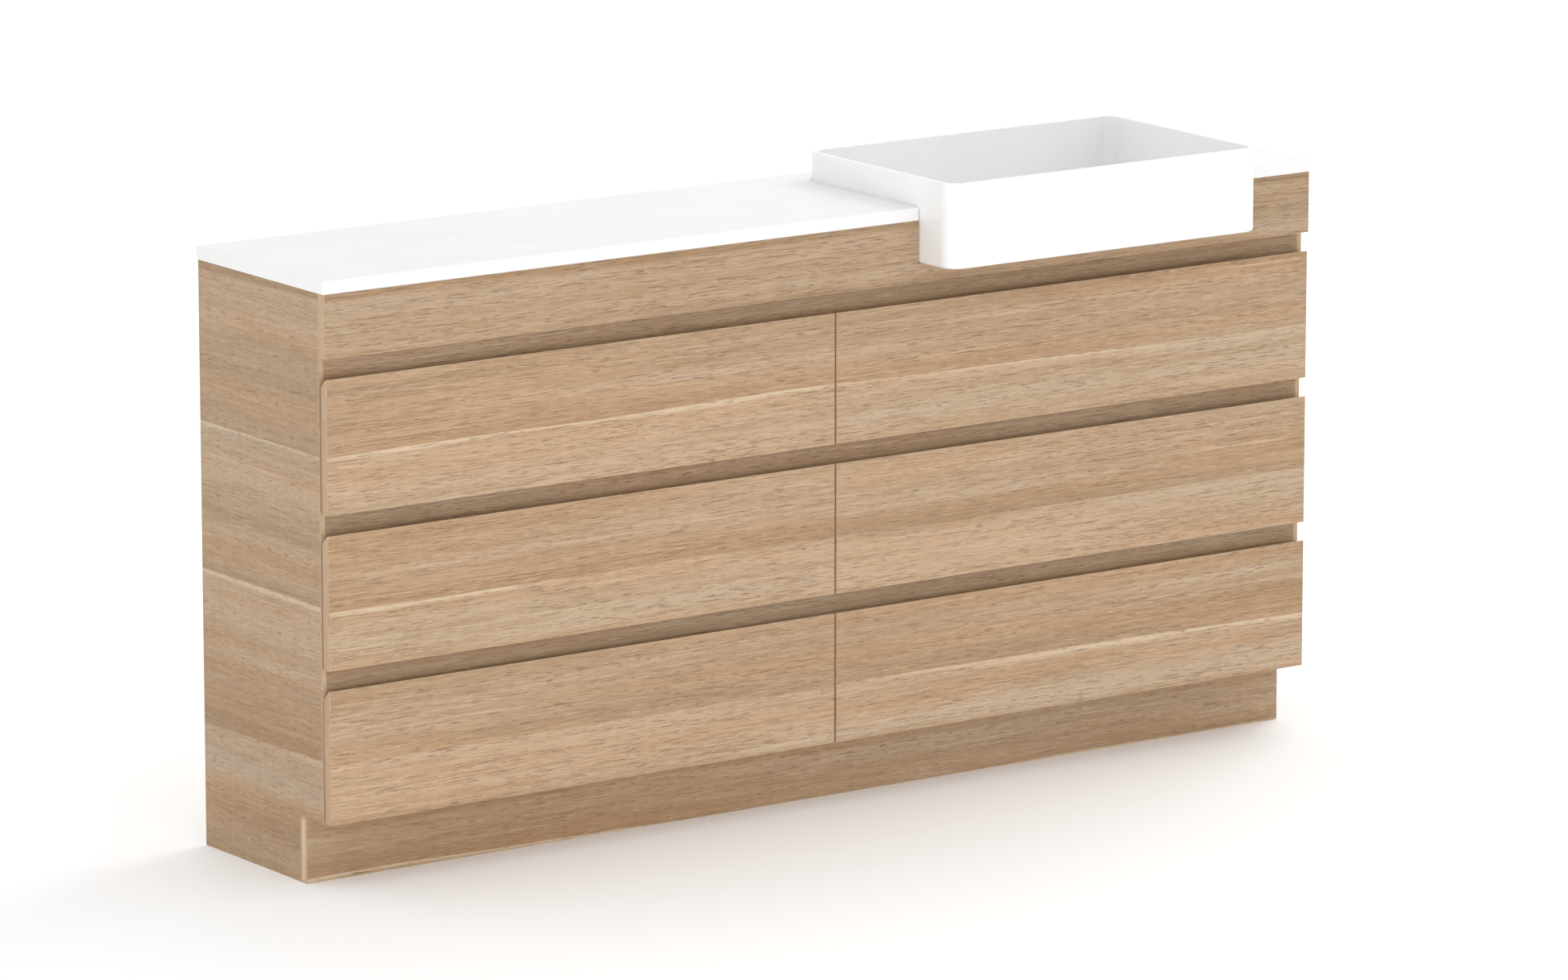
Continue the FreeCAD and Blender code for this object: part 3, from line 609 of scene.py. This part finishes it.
def block(low, high):
    """A box from corner to corner, ready to be rounded and hollowed."""
    bm = bmesh.new()
    bmesh.ops.create_cube(bm, size=1.0)
    bmesh.ops.scale(bm, vec=high - low, verts=bm.verts)
    bmesh.ops.translate(bm, vec=(low + high) / 2, verts=bm.verts)
    return bm


def rounded(bm, edges, radius, segments):
    made = bmesh.ops.bevel(bm, geom=list(edges), offset=radius, offset_type="OFFSET",
                           segments=segments, profile=0.5, affect="EDGES", clamp_overlap=False,
                           material=-1)
    return made["faces"]


def upright_edges(bm):
    return [e for e in bm.edges if abs(e.verts[0].co.z - e.verts[1].co.z) > 0.9 * e.calc_length()]


def level_edges(bm, level):
    """The edges at one height that lie on a corner."""
    return [
        e for e in bm.edges
        if all(abs(v.co.z - level) < SAME_POINT for v in e.verts)
        and len(e.link_faces) == 2 and e.calc_face_angle(0.0) > CORNER
    ]


def level_face(bm, level, up):
    """The largest face at one height that looks up or down."""
    bm.normal_update()
    found = [
        f for f in bm.faces
        if f.normal.z * up > 0.99 and abs(f.calc_center_median().z - level) < SAME_POINT
    ]
    return max(found, key=lambda f: f.calc_area())


def finished(bm, name, body, materials, replaced=()):
    """The mesh as a piece: smooth where it curves, crisp where it turns, riding on its body."""
    mesh = bpy.data.meshes.new(name)
    bm.normal_update()
    bm.to_mesh(mesh)
    bm.free()
    for material in materials:
        mesh.materials.append(material)
    for polygon in mesh.polygons:
        polygon.use_smooth = True
    mesh.set_sharp_from_angle(angle=SHADED_SHARP)
    piece = bpy.data.objects.new(name, mesh)
    bpy.context.scene.collection.objects.link(piece)
    weighted = piece.modifiers.new("even_shading", "WEIGHTED_NORMAL")
    weighted.keep_sharp = True
    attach(piece, body)
    if replaced:
        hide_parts(*replaced)
    return piece


def from_cad(node):
    """A copy of a CAD node's mesh with its loose triangles joined into clean faces."""
    bm = bmesh.new()
    bm.from_mesh(frame["nodes"][node].data)
    bmesh.ops.remove_doubles(bm, verts=bm.verts, dist=SAME_POINT)
    bmesh.ops.dissolve_limit(bm, angle_limit=FLAT, verts=bm.verts, edges=bm.edges,
                             delimit={"NORMAL"})
    bm.normal_update()
    return bm


def arris_edges(bm):
    """The outer corners of a piece, without the chords of its drilled holes."""
    return [
        e for e in bm.edges
        if len(e.link_faces) == 2 and e.is_convex and e.calc_face_angle(0.0) > CORNER
        and e.calc_length() > SMALL_EDGE
    ]


def dressed(node, suffix, materials, pick, arris, segments=2):
    """A CAD node's own shape with rounded arrises, and a material for each kind of face.

    pick gives the material of a flat face; the last material goes on the arrises.
    """
    bm = from_cad(node)
    for face in bm.faces:
        face.material_index = pick(face)
    for face in rounded(bm, arris_edges(bm), arris, segments):
        face.material_index = len(materials) - 1
    return finished(bm, f"{node}_{suffix}", BODY_OF[node], materials, [node])


def thin_axis(node):
    low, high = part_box(node)
    size = high - low
    return min((X, Y, Z), key=lambda axis: size[axis])


def oak_board(node, look="board"):
    """An oak-grain board: grain along its length, bands on its edges, rubbed arrises."""
    thin = thin_axis(node)
    grain = Y if thin == X else X
    others = [axis for axis in (X, Y, Z) if axis != thin]
    materials = [oak_face(grain, look)] + [oak_band(axis) for axis in others] + [oak_arris()]

    def pick(face):
        if abs(face.normal[thin]) > SQUARE_ON:
            return 0
        looks = max(others, key=lambda axis: abs(face.normal[axis]))
        return 1 if others[0] != looks else 2

    return dressed(node, "board", materials, pick, bpy.context.scene.vanity_oak.arris)


def one_finish(node, suffix, material, arris, edge=None, segments=2):
    materials = [material, edge or material]
    return dressed(node, suffix, materials, lambda face: 0, arris, segments)


# ---------------------------------------------------------------------------------------------
# One operator for each piece or group of like pieces
# ---------------------------------------------------------------------------------------------


class VANITY_OT_carcass(bpy.types.Operator):
    """Dresses the plinth, the cabinet's boards and the finger rails"""
    bl_idname = "vanity.carcass"
    bl_label = "Cabinet boards"

    def execute(self, context):
        for node in (
            "plinth_back_rail", "cabinet_floor", "centre_partition", "wall_fixing_rail",
            "back_panel", "basin_rear_support",
        ):
            oak_board(node)
        # The side panels and plinth ends carry painted shade: a darker copy of the oak for their
        # less lit side faces.
        for hand in BAYS:
            oak_board(f"side_panel_{hand}", "end")
            oak_board(f"plinth_end_{hand}", "end")
        # The finger rails carry painted shade: a much darker copy of the oak for their recess
        # behind the fronts.
        for row in ROWS:
            oak_board(f"finger_rail_{row}", "rail")
        self.kickboard(context.scene.vanity_oak)
        return {"FINISHED"}

    def kickboard(self, oak):
        """Its sawn ends show a pale core between the two printed faces."""
        bm = from_cad("kickboard")
        for face in bm.faces:
            face.material_index = 0 if abs(face.normal.y) > SQUARE_ON else 1
        for face in rounded(bm, arris_edges(bm), oak.arris, 2):
            face.material_index = 2
        ends = [face for face in bm.faces
                if abs(face.normal.x) > SQUARE_ON and face.material_index == 1]
        bmesh.ops.inset_individual(bm, faces=ends, thickness=oak.skin, use_even_offset=True)
        for face in ends:
            face.material_index = 3
        # The kickboard's face carries painted shade: a slightly darker copy of the oak, as it
        # stands back under the cabinet.
        finished(bm, "kickboard_board", BODY_OF["kickboard"], [
            oak_face(X, "kickboard"), oak_band(X), oak_arris(), oak_band(Z, CORE_LIFT),
        ], ["kickboard"])


class VANITY_OT_fronts(bpy.types.Operator):
    """Dresses the six drawer fronts and the fascia panel"""
    bl_idname = "vanity.fronts"
    bl_label = "Drawer fronts and fascia"

    def execute(self, context):
        for drawer in DRAWERS:
            oak_board(f"{drawer}_front")
        # The fascia carries painted shade: a darker copy of the oak for the basin's shadow over it.
        oak_board("fascia_panel", "fascia")
        return {"FINISHED"}


class VANITY_OT_benchtop(bpy.types.Operator):
    """Dresses the benchtop, cut out round the basin"""
    bl_idname = "vanity.benchtop"
    bl_label = "Benchtop"

    def execute(self, context):
        one_finish("benchtop", "slab", benchtop_stone(), context.scene.vanity_white.top_arris,
                   segments=3)
        return {"FINISHED"}


FLANGE_SEAT = 0.002      # depth of the recess for the waste flange
BEAD_FOOT = 0.004        # the sealant reaches this far below the benchtop's face
BEAD_INSIDE = 0.002      # and this far into the basin's wall
# The sealant's height and its round, against its width.
BEAD_RISE, CREST_ROUND = 0.6, 0.55
# Faces round the basin's rounded edges, and round the sealant's corners and its crest.
CORNER_STEPS, BOWL_STEPS, EDGE_STEPS = 14, 7, 4
BEAD_STEPS, CREST_STEPS = 12, 3


class VANITY_OT_basin(bpy.types.Operator):
    """Makes the apron-front basin and the sealant bead between it and the benchtop"""
    bl_idname = "vanity.basin"
    bl_label = "Basin"

    def execute(self, context):
        white = context.scene.vanity_white
        low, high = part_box("basin")
        waste_low, waste_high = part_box("waste_body")
        bowl_low = waste_high.z
        bm = block(low, high)
        rounded(bm, upright_edges(bm), white.corner, CORNER_STEPS)

        # The bowl is drawn down from the rim, its floor a little higher at the walls.
        rim = level_face(bm, high.z, 1)
        bmesh.ops.inset_region(bm, faces=[rim], thickness=white.wall, use_even_offset=True)
        bowl = bmesh.ops.extrude_discrete_faces(bm, faces=[rim])["faces"][0]
        floor_level = bowl_low + white.fall
        bmesh.ops.translate(bm, vec=(0.0, 0.0, floor_level - high.z), verts=bowl.verts)
        rounded(bm, level_edges(bm, floor_level), white.bowl, BOWL_STEPS)
        rounded(bm, level_edges(bm, high.z), white.lip, EDGE_STEPS)
        rounded(bm, level_edges(bm, low.z), white.foot, EDGE_STEPS)

        # The waste hole, with the recess that its flange sits in, joins floor and underside.
        floor = level_face(bm, floor_level, 1)
        under = level_face(bm, low.z, -1)
        floor_loop, under_loop = list(floor.edges), list(under.edges)
        bmesh.ops.delete(bm, geom=[floor, under], context="FACES_ONLY")
        centre = Vector(((waste_low.x + waste_high.x) / 2, (waste_low.y + waste_high.y) / 2,
                         bowl_low))
        ring = bmesh.ops.create_circle(
            bm, cap_ends=False, segments=len(floor_loop), radius=white.recess,
            matrix=Matrix.Translation(centre))["verts"]
        ring_edges = [e for e in bm.edges if e.verts[0] in ring and e.verts[1] in ring]
        bmesh.ops.bridge_loops(bm, edges=floor_loop + ring_edges)
        step = white.recess
        for drop, radius in (
            (FLANGE_SEAT, step), (0.0, white.hole), (bowl_low - low.z - FLANGE_SEAT, white.hole),
        ):
            made = bmesh.ops.extrude_edge_only(bm, edges=ring_edges)["geom"]
            verts = [v for v in made if isinstance(v, bmesh.types.BMVert)]
            ring_edges = [e for e in made if isinstance(e, bmesh.types.BMEdge)]
            bmesh.ops.translate(bm, vec=(0.0, 0.0, -drop), verts=verts)
            shrink = Vector((radius / step, radius / step, 1.0))
            bmesh.ops.scale(bm, vec=shrink, space=Matrix.Translation(-centre), verts=verts)
            step = radius
        bmesh.ops.bridge_loops(bm, edges=under_loop + ring_edges)
        bmesh.ops.recalc_face_normals(bm, faces=bm.faces)
        finished(bm, "basin_ware", "cabinet", [basin_glaze()], ["basin"])
        self.bead(white, low, high)
        return {"FINISHED"}

    def bead(self, white, low, high):
        """A ring round the basin's outline, cut off where the benchtop ends in front."""
        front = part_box("benchtop")[0].y
        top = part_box("benchtop")[1].z
        width = white.sealant
        foot, head = top - BEAD_FOOT, top + width * BEAD_RISE
        bm = block(Vector((low.x - width, low.y - width, foot)),
                   Vector((high.x + width, high.y + width, head)))
        rounded(bm, upright_edges(bm), white.corner + width, BEAD_STEPS)
        lid = level_face(bm, head, 1)
        base = level_face(bm, foot, -1)
        crest = list(lid.edges)
        bmesh.ops.inset_region(bm, faces=[lid, base], thickness=width + BEAD_INSIDE,
                               use_even_offset=True)
        loops = list(lid.edges) + list(base.edges)
        bmesh.ops.delete(bm, geom=[lid, base], context="FACES_ONLY")
        bmesh.ops.bridge_loops(bm, edges=loops)
        rounded(bm, crest, width * CREST_ROUND, CREST_STEPS)
        cut = bmesh.ops.bisect_plane(bm, geom=bm.verts[:] + bm.edges[:] + bm.faces[:],
                                     plane_co=(0.0, front + 0.001, 0.0), plane_no=(0.0, -1.0, 0.0),
                                     clear_outer=True)
        open_edges = [e for e in cut["geom_cut"] if isinstance(e, bmesh.types.BMEdge)]
        bmesh.ops.holes_fill(bm, edges=open_edges, sides=0)
        bmesh.ops.recalc_face_normals(bm, faces=bm.faces)
        finished(bm, "basin_sealant", "cabinet", [sealant_white()])


def turned(profile, centre, steps):
    """A closed shape turned round an upright axis from (radius, height) points."""
    bm = bmesh.new()
    corners = [bm.verts.new((radius, 0.0, height)) for radius, height in profile]
    for first, second in zip(corners, corners[1:]):
        bm.edges.new((first, second))
    bmesh.ops.spin(bm, geom=bm.verts[:] + bm.edges[:], cent=(0.0, 0.0, 0.0), axis=(0.0, 0.0, 1.0),
                   angle=math.tau, steps=steps, use_merge=True)
    bmesh.ops.remove_doubles(bm, verts=bm.verts, dist=SAME_POINT)
    bmesh.ops.recalc_face_normals(bm, faces=bm.faces)
    bmesh.ops.translate(bm, vec=centre, verts=bm.verts)
    return bm


PLUG_STEM = 0.004        # radius of the plug's stem
PLUG_CAP = 0.005         # height of its cap
PLUG_STEPS = 64
FLANGE_ARRIS, NUT_ARRIS, TRAP_ARRIS = 0.0004, 0.0008, 0.0006


class VANITY_OT_waste(bpy.types.Operator):
    """Makes the waste, its lifting plug and its nut"""
    bl_idname = "vanity.waste"
    bl_label = "Waste and plug"

    def execute(self, context):
        one_finish("waste_body", "chrome", chrome(), FLANGE_ARRIS)
        one_finish("waste_nut", "brass", brass(), NUT_ARRIS)
        low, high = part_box("waste_plug")
        centre = Vector(((low.x + high.x) / 2, (low.y + high.y) / 2, 0.0))
        cap = (high.x - low.x) / 2
        under = high.z - PLUG_CAP
        bm = turned([
            (0.0, low.z), (PLUG_STEM - 0.001, low.z), (PLUG_STEM, low.z + 0.001),
            (PLUG_STEM, under), (cap - 0.001, under), (cap, under + 0.001), (cap, under + 0.0022),
            (cap - 0.0006, under + 0.0031), (cap * 0.90, high.z - 0.0010),
            (cap * 0.70, high.z - 0.0005), (cap * 0.40, high.z - 0.0001), (0.0, high.z),
        ], centre, PLUG_STEPS)
        finished(bm, "waste_plug_cap", "plug", [chrome()], ["waste_plug"])
        return {"FINISHED"}


class VANITY_OT_trap(bpy.types.Operator):
    """Dresses the bottle trap and its pipe to the wall"""
    bl_idname = "vanity.trap"
    bl_label = "Bottle trap"

    def execute(self, context):
        for node in ("trap_body", "trap_cup", "trap_outlet_pipe"):
            one_finish(node, "moulding", trap_plastic(), TRAP_ARRIS)
        return {"FINISHED"}


class VANITY_OT_drawers(bpy.types.Operator):
    """Dresses the six drawer boxes: steel sides, base and back"""
    bl_idname = "vanity.drawers"
    bl_label = "Drawer boxes"

    def execute(self, context):
        fittings = context.scene.vanity_fittings
        for drawer in DRAWERS:
            for hand in BAYS:
                one_finish(f"{drawer}_side_{hand}", "sheet", drawer_steel(), fittings.arris,
                           steel_arris())
            for part in ("base", "back"):
                one_finish(f"{drawer}_{part}", "board", drawer_melamine(), fittings.board_arris)
        return {"FINISHED"}


class VANITY_OT_runners(bpy.types.Operator):
    """Dresses the runner members of the cabinet and of each drawer"""
    bl_idname = "vanity.runners"
    bl_label = "Runners"

    def execute(self, context):
        for node in ["cabinet_runner_members"] + [f"{drawer}_runners" for drawer in DRAWERS]:
            one_finish(node, "steel", runner_zinc(), context.scene.vanity_fittings.arris)
        return {"FINISHED"}


# The low light is wide and flat, so the basin's own walls keep it out of the bowl.
# The high one stands behind on the right and throws the basin's soft shadow to the left.
LOW_KEY_PLACE, LOW_KEY_SIZE = Vector((-1.9, -4.2, 0.0)), (5.0, 0.86)
HIGH_KEY_PLACE, HIGH_KEY_SIZE = Vector((4.5, 1.2, 4.0)), (3.0, 3.0)
FLOOR_STEPS = 96
SENSOR_WIDTH = 36.0      # millimetres, as Blender counts it
SEES_TO = 200.0
AIM_DROP = 0.0084        # the camera looks this far under the vanity's middle


class VANITY_OT_stage(bpy.types.Operator):
    """Lays the pale floor, sets the soft lights and places the camera"""
    bl_idname = "vanity.stage"
    bl_label = "Stage"

    def execute(self, context):
        scene = context.scene
        stage = scene.vanity_stage
        bm = bmesh.new()
        bmesh.ops.create_circle(bm, cap_ends=True, segments=FLOOR_STEPS, radius=stage.reach)
        mesh = bpy.data.meshes.new("stage_floor")
        bm.to_mesh(mesh)
        bm.free()
        mesh.materials.append(floor_paint())
        floor = bpy.data.objects.new("stage_floor", mesh)
        scene.collection.objects.link(floor)
        floor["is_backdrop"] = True

        world = bpy.data.worlds.new("stage_sky")
        world.use_nodes = True
        sky = world.node_tree.nodes["Background"]
        sky.inputs["Color"].default_value = (1.0, 1.0, 1.0, 1.0)
        sky.inputs["Strength"].default_value = stage.sky
        scene.world = world
        scene.view_settings.view_transform = "Standard"

        low, high = Vector(CAD_BOX[0]), Vector(CAD_BOX[1])
        middle = (low + high) / 2
        self.softbox("stage_low_key", middle, LOW_KEY_PLACE, LOW_KEY_SIZE, stage.low_key)
        self.softbox("stage_high_key", middle, HIGH_KEY_PLACE, HIGH_KEY_SIZE, stage.high_key)

        camera_data = bpy.data.cameras.new("stage_camera")
        camera_data.lens = stage.lens
        camera_data.sensor_width = SENSOR_WIDTH
        camera_data.clip_end = SEES_TO
        camera = bpy.data.objects.new("stage_camera", camera_data)
        scene.collection.objects.link(camera)
        back = Vector((-math.sin(stage.turn) * math.cos(stage.rise),
                       -math.cos(stage.turn) * math.cos(stage.rise), math.sin(stage.rise)))
        aim = middle - Vector((0.0, 0.0, AIM_DROP))
        camera.location = aim + back * stage.away
        camera.rotation_euler = back.to_track_quat("Z", "Y").to_euler()
        scene.camera = camera
        return {"FINISHED"}

    def softbox(self, name, middle, offset, size, power):
        light = bpy.data.lights.new(name, "AREA")
        light.shape = "RECTANGLE"
        light.size, light.size_y = size
        light.energy = power
        lamp = bpy.data.objects.new(name, light)
        bpy.context.scene.collection.objects.link(lamp)
        lamp.location = middle + offset
        lamp.rotation_euler = offset.to_track_quat("Z", "Y").to_euler()
        lamp.visible_camera = False


OPERATORS = (
    VANITY_OT_carcass, VANITY_OT_fronts, VANITY_OT_benchtop, VANITY_OT_basin, VANITY_OT_waste,
    VANITY_OT_trap, VANITY_OT_drawers, VANITY_OT_runners, VANITY_OT_stage,
)
SETTINGS = (
    ("vanity_oak", OakSettings), ("vanity_white", WhiteSettings),
    ("vanity_fittings", FittingSettings), ("vanity_stage", StageSettings),
)


class VANITY_PT_panel(bpy.types.Panel):
    """Lists the vanity's groups of pieces"""
    bl_idname = "VANITY_PT_panel"
    bl_label = "Vanity"
    bl_space_type = "VIEW_3D"
    bl_region_type = "UI"
    bl_category = "Vanity"

    def draw(self, context):
        column = self.layout.column(align=True)
        for operator in OPERATORS:
            column.operator(operator.bl_idname)


def register():
    for name, group in SETTINGS:
        bpy.utils.register_class(group)
        setattr(bpy.types.Scene, name, PointerProperty(type=group))
    for operator in OPERATORS:
        bpy.utils.register_class(operator)
    bpy.utils.register_class(VANITY_PT_panel)


def unregister():
    bpy.utils.unregister_class(VANITY_PT_panel)
    for operator in reversed(OPERATORS):
        bpy.utils.unregister_class(operator)
    for name, group in reversed(SETTINGS):
        delattr(bpy.types.Scene, name)
        bpy.utils.unregister_class(group)


def plain(bounds):
    return [[float(value) for value in corner] for corner in bounds]


def main():
    register()
    bpy.ops.vanity.carcass()
    bpy.ops.vanity.fronts()
    bpy.ops.vanity.benchtop()
    bpy.ops.vanity.basin()
    bpy.ops.vanity.waste()
    bpy.ops.vanity.trap()
    bpy.ops.vanity.drawers()
    bpy.ops.vanity.runners()
    bpy.ops.vanity.stage()
    {"cad": plain(CAD_BOX), "visual": plain(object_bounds())}


if __name__ == "__main__":
    main()
